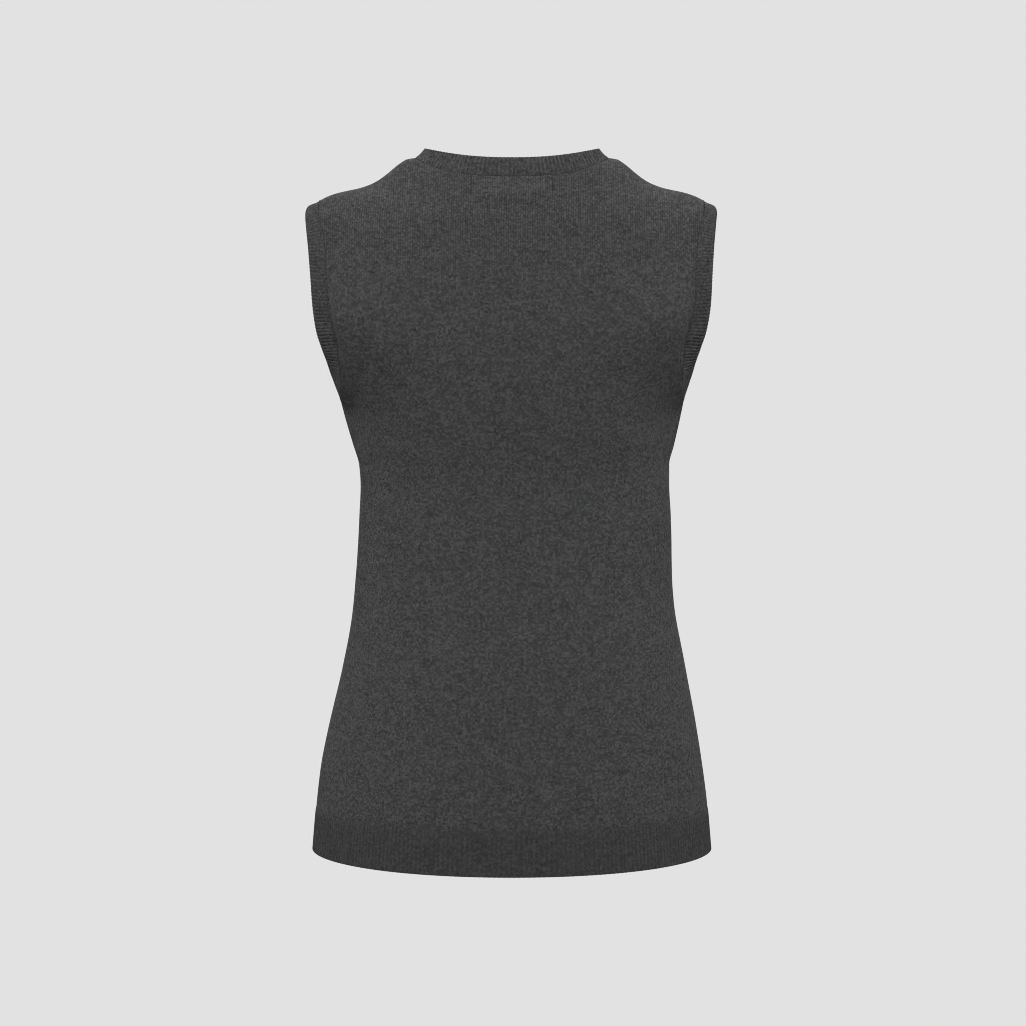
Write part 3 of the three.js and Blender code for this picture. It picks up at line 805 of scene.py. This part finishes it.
def knit_material(
    name, colour, spread=SPREAD, face="plain", furrow=0.0, painted_wale_shade=0.0, painted_oblong_shading=False, painted_underarm_light=0.0
):
    """Heather yarn knitted in stitches, the shade of each stitch's relief painted into its colour. face is
    "plain" for the V side and "purl" for the ridged side. furrow is how much painted shade darkens the sunken
    wales of a rib, painted_wale_shade how dark the painted shade lines between the wales are near the neck,
    painted_oblong_shading adds the painted light and shade of the neck's oblong, and painted_underarm_light
    is how much lighter an armband is painted towards the underarm."""
    graph = Graph(name)
    uv = graph.add("ShaderNodeUVMap", uv_map="Knit").outputs[0]
    split = graph.add("ShaderNodeSeparateXYZ", {0: uv})
    u, v = split.outputs[0], split.outputs[1]
    part = graph.math("FRACT", u)
    off_centre = graph.math("ABSOLUTE", graph.math("SUBTRACT", graph.math("MULTIPLY", part, 2.0), 1.0))
    if face == "plain":
        slanted = graph.math("MULTIPLY_ADD", off_centre, -0.75, v)
        leg_x = graph.math("SUBTRACT", graph.math("MULTIPLY", off_centre, 2.0), 1.0)
    else:
        slanted = graph.math("MULTIPLY_ADD", graph.math("MULTIPLY", off_centre, off_centre), 0.35, v)
        leg_x = graph.math("MULTIPLY", off_centre, 0.8)
    leg_y = graph.math("MULTIPLY_ADD", graph.math("FRACT", slanted), 2.0, -1.0)
    across = graph.math("SUBTRACT", 1.0, graph.math("MULTIPLY", leg_x, leg_x))
    along = graph.math("SUBTRACT", 1.0, graph.math("MULTIPLY", leg_y, leg_y))
    height = graph.math("MULTIPLY", graph.math("ADD", across, along), 0.5)

    place = graph.add("ShaderNodeTexCoord").outputs["Object"]
    cell = graph.point(graph.math("FLOOR", u), graph.math("FLOOR", slanted))
    stitch = graph.add("ShaderNodeTexWhiteNoise", {"Vector": cell}, noise_dimensions="2D").outputs["Value"]
    stitch = graph.math("POWER", stitch, 1.5)
    along_course = graph.math("MULTIPLY", u, STREAK_PACE)
    course = graph.math("MULTIPLY", graph.math("FLOOR", slanted), COURSE_PACE)
    streak = graph.noise(graph.point(along_course, course), 1.0, 1.0, "2D")
    fibre = graph.noise(graph.scaled(place, FIBRE_STRETCH), FIBRE_SCALE, 3.0)
    blotch = graph.noise(place, BLOTCH_SCALE, 2.0)
    total = 1.0
    for value, amount in zip((stitch, streak, fibre, blotch), spread):
        total = graph.math("MULTIPLY_ADD", graph.math("SUBTRACT", value, 0.5), amount, total)
    # Painted shade: each stitch is darker at its sunken edges and lighter at its raised top
    total = graph.math("MULTIPLY", total, graph.math("MULTIPLY_ADD", height, *PAINTED_STITCH_SHADE))
    # Painted shade in the valleys between the wales, strongest near the neck, with a little painted light on
    # the wales' middles
    if painted_wale_shade:
        z = graph.add("ShaderNodeSeparateXYZ", {0: place}).outputs[2]
        high = graph.ramp(z, *PAINTED_WALE_SHADE_RAMP)
        edge = graph.math("MULTIPLY", graph.math("MULTIPLY", off_centre, off_centre), high)
        lined = graph.math("MULTIPLY_ADD", edge, -painted_wale_shade, 1.0 + painted_wale_shade / 6)
        total = graph.math("MULTIPLY", total, lined)
    # Painted light: an armband is made lighter towards the underarm, below these heights
    if painted_underarm_light:
        z = graph.add("ShaderNodeSeparateXYZ", {0: place}).outputs[2]
        total = graph.math("MULTIPLY", total, graph.ramp(z, *PAINTED_UNDERARM_LIGHT_Z, 1.0 + painted_underarm_light, 1.0))
    # Painted light and shade of the raised oblong under the back of the neck
    if painted_oblong_shading:
        total = graph.math("MULTIPLY", total, oblong_painted_light_and_shade(graph, place))
    # Painted shade in the sunken wales of a rib
    if furrow:
        turn = graph.math("MULTIPLY", graph.math("ADD", u, -0.5), math.pi)
        sunk = graph.math("MULTIPLY_ADD", graph.math("COSINE", turn), -0.5, 0.5)
        total = graph.math("MULTIPLY", total, graph.math("MULTIPLY_ADD", sunk, -furrow, 1.0))
    total = graph.math("MAXIMUM", total, 0.05)
    shade = graph.scaled(colour, graph.point(total, total, total))

    rough = graph.math("MULTIPLY_ADD", fibre, 0.25, height)
    normal = graph.add("ShaderNodeBump", {"Height": rough, "Distance": 0.0004, "Strength": 0.35}).outputs[0]
    shader = graph.add("ShaderNodeBsdfPrincipled", {
        "Base Color": shade,
        "Roughness": 0.92,
        "Diffuse Roughness": 1.0,
        "Specular IOR Level": 0.08,
        "Sheen Weight": 0.012,
        "Sheen Roughness": 0.45,
        "Sheen Tint": (0.8, 0.8, 0.82, 1.0),
        "Normal": normal,
    })
    output = graph.add("ShaderNodeOutputMaterial")
    graph.links.new(shader.outputs[0], output.inputs["Surface"])
    return graph.material


chance = np.random.default_rng(SEED)
knit = knit_material("charcoal heather stockinette", (0.052, 0.052, 0.053), painted_wale_shade=0.38)
# The back's stockinette carries the painted light and shade of the neck's oblong
knit_back = knit_material("charcoal heather back with painted oblong light and shade", (0.052, 0.052, 0.053), painted_wale_shade=0.38, painted_oblong_shading=True)
knit_inside = knit_material("charcoal heather purl side", (0.050, 0.050, 0.051), face="purl")
# The neckband is the body's yarn painted lighter: painted light
neck_rib = knit_material("charcoal heather neck rib", (0.0605, 0.0605, 0.0615), furrow=0.22)
# The armbands are the body's yarn painted darker, painted shade, with painted light towards the underarm
arm_rib = knit_material("charcoal heather arm rib", (0.0485, 0.0485, 0.0495), painted_underarm_light=0.25)
# The hem rib is the body's yarn painted darker: painted shade
hem_rib_knit = knit_material("charcoal heather hem rib", (0.0475, 0.0475, 0.0485), HEM_SPREAD, furrow=0.06)
rib_inside = knit_material("charcoal heather rib inside", (0.052, 0.052, 0.053), furrow=0.2)
link_yarn = knit_material("charcoal linking yarn", (0.036, 0.036, 0.037))
# The linking yarn again, painted darker at the neck: painted shade for the seam's dark line
neck_yarn_painted_shade = knit_material("charcoal neck yarn darkened as painted shade", (0.02, 0.02, 0.0205))

# Pieces
back = panel_grid(BACK, BACK_FOLDS)
front = panel_grid(FRONT, FRONT_FOLDS)
back_panel = panel("back panel knit", back, [knit_back, knit_inside])
front_panel = panel("front panel knit", front, [knit, knit_inside])
hem_back = hem_rib("hem rib back knit", BACK, BACK_FOLDS, [hem_rib_knit, rib_inside])
hem_front = hem_rib("hem rib front knit", FRONT, FRONT_FOLDS, [hem_rib_knit, rib_inside])
neck, neck_seam = neckband("neckband knit", back, front, [neck_rib, rib_inside])
arm_left, arm_seam_left = armband("armband left knit", back, front, 1, [arm_rib, rib_inside])
arm_right, arm_seam_right = armband("armband right knit", back, front, -1, [arm_rib, rib_inside])

neck_linking = linking("neck_linking", *neck_seam[1:], neck_yarn_painted_shade)
arm_linking_left = linking("armhole_linking_left", *arm_seam_left[1:], link_yarn)
arm_linking_right = linking("armhole_linking_right", *arm_seam_right[1:], link_yarn)
panel_linking = []
shoulder_rows = len(back["rows"]["z"]) - 1 - int(np.flatnonzero(back["rows"]["is_arm"])[-1])
for side, end in (("left", -1), ("right", 0)):
    low = side_line(back, front, end, 0, back["rows"]["first_arm"])
    high = side_line(back, front, end, -shoulder_rows, None)
    panel_linking.append(linking("side_linking_" + side, *low, link_yarn))
    panel_linking.append(linking("shoulder_linking_" + side, *high, link_yarn))

for obj in (neck_linking, arm_linking_left, arm_linking_right, *panel_linking):
    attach(obj, "root")

for obj, node, slot, flat, area, held, sewn in (
    (back_panel, "back_panel", "knit", (0.44, 0.56), 0.191, "hung", panel_linking),
    (front_panel, "front_panel", "knit", (0.44, 0.56), 0.186, "hung", []),
    (hem_back, "hem_rib_back", "rib", (0.442, 0.036), None, "hung", []),
    (hem_front, "hem_rib_front", "rib", (0.442, 0.036), None, "hung", []),
    (neck, "neckband", "rib", (0.44, 0.018), None, "stretched", [neck_linking]),
    (arm_left, "armband_left", "rib", (0.39, 0.0205), None, "stretched", [arm_linking_left]),
    (arm_right, "armband_right", "rib", (0.39, 0.0205), None, "stretched", [arm_linking_right]),
):
    obj.name = node + "_cloth"
    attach(obj, "root")
    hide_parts(node)


# Stage: a pale floor and backdrop that only the camera sees, soft lights, and the photograph's camera

def emitter(name, colour, strength):
    graph = Graph(name)
    glow = graph.add("ShaderNodeEmission", {"Color": colour, "Strength": strength})
    output = graph.add("ShaderNodeOutputMaterial")
    graph.links.new(glow.outputs[0], output.inputs["Surface"])
    return graph.material


BACKDROP = 0.7605       # the photograph's pale grey
AMBIENT = 0.01
FLOOR_Z = -1.2


def stage_floor():
    """A round floor that curves up into a wide backdrop all round."""
    profile = [
        (0, 0), (3, 0), (5, 0.05), (6.5, 0.4), (7.6, 1.2),
        (8.2, 2.4), (8.4, 4), (7, 6.5), (3.5, 8), (0.01, 8.4),
    ]
    around = 64
    vertices = []
    for radius, z in profile:
        for i in range(around):
            angle = 2 * math.pi * i / around
            vertices.append((radius * math.cos(angle), radius * math.sin(angle), FLOOR_Z + z))
    faces = []
    for k in range(len(profile) - 1):
        for i in range(around):
            j = (i + 1) % around
            faces.append((k * around + i, k * around + j, (k + 1) * around + j, (k + 1) * around + i))
    mesh = bpy.data.meshes.new("pale floor")
    mesh.from_pydata(vertices, [], faces)
    mesh.materials.append(emitter("pale studio grey", (BACKDROP, BACKDROP, BACKDROP, 1), 1.0))
    obj = bpy.data.objects.new("pale floor", mesh)
    bpy.context.scene.collection.objects.link(obj)
    for ray in ("diffuse", "glossy", "transmission", "volume_scatter", "shadow"):
        setattr(obj, "visible_" + ray, False)
    return obj


def area_light(name, place, size, power, target=(0, 0, -0.25)):
    light = bpy.data.lights.new(name, "AREA")
    light.shape = "RECTANGLE"
    light.size, light.size_y = size
    light.energy = power
    obj = bpy.data.objects.new(name, light)
    obj.location = place
    obj.rotation_euler = (Vector(target) - Vector(place)).to_track_quat("-Z", "Y").to_euler()
    bpy.context.scene.collection.objects.link(obj)
    return obj


scene = bpy.context.scene
world = bpy.data.worlds.new("soft studio")
world.use_nodes = True
background = world.node_tree.nodes["Background"]
background.inputs["Color"].default_value = (1, 1, 1, 1)
background.inputs["Strength"].default_value = AMBIENT
scene.world = world
stage_floor()
area_light("high back softbox", (0, 2.2, 1.9), (2.4, 1.4), 19)
area_light("back softbox", (0, 2.6, 1.2), (2.0, 1.2), 69)
area_light("front softbox", (0, -2.5, 0.2), (2.0, 1.2), 70)
for side in (1, -1):
    area_light("wide back softbox", (side * 1.5, 1.4, 1.9), (1.0, 1.0), 29.5)
    area_light("side softbox", (side * 2.6, 0.2, 0.7), (1.0, 1.2), 14)
    area_light("low fill", (side * 0.8, 0.3, -1.15), (0.5, 0.5), 1.6)

# The camera stands behind the garment and looks down at it a little
TARGET = Vector((-0.0008, 0, -0.28964))
DISTANCE = 2.3
PITCH = math.radians(4.8)
SENSOR_WIDTH = 36
FOCAL_PIXELS = 2791
PHOTO_PIXELS = 1026
camera_data = bpy.data.cameras.new("camera")
camera_data.sensor_width = SENSOR_WIDTH
camera_data.lens = SENSOR_WIDTH * FOCAL_PIXELS / PHOTO_PIXELS
camera = bpy.data.objects.new("camera", camera_data)
away = Vector((0, math.cos(PITCH), math.sin(PITCH)))
camera.location = TARGET + away * DISTANCE
camera.rotation_euler = (-away).to_track_quat("-Z", "Y").to_euler()
scene.collection.objects.link(camera)
scene.camera = camera
scene.view_settings.view_transform = "Standard"
scene.view_settings.look = "None"
scene.cycles.filter_width = 1.0
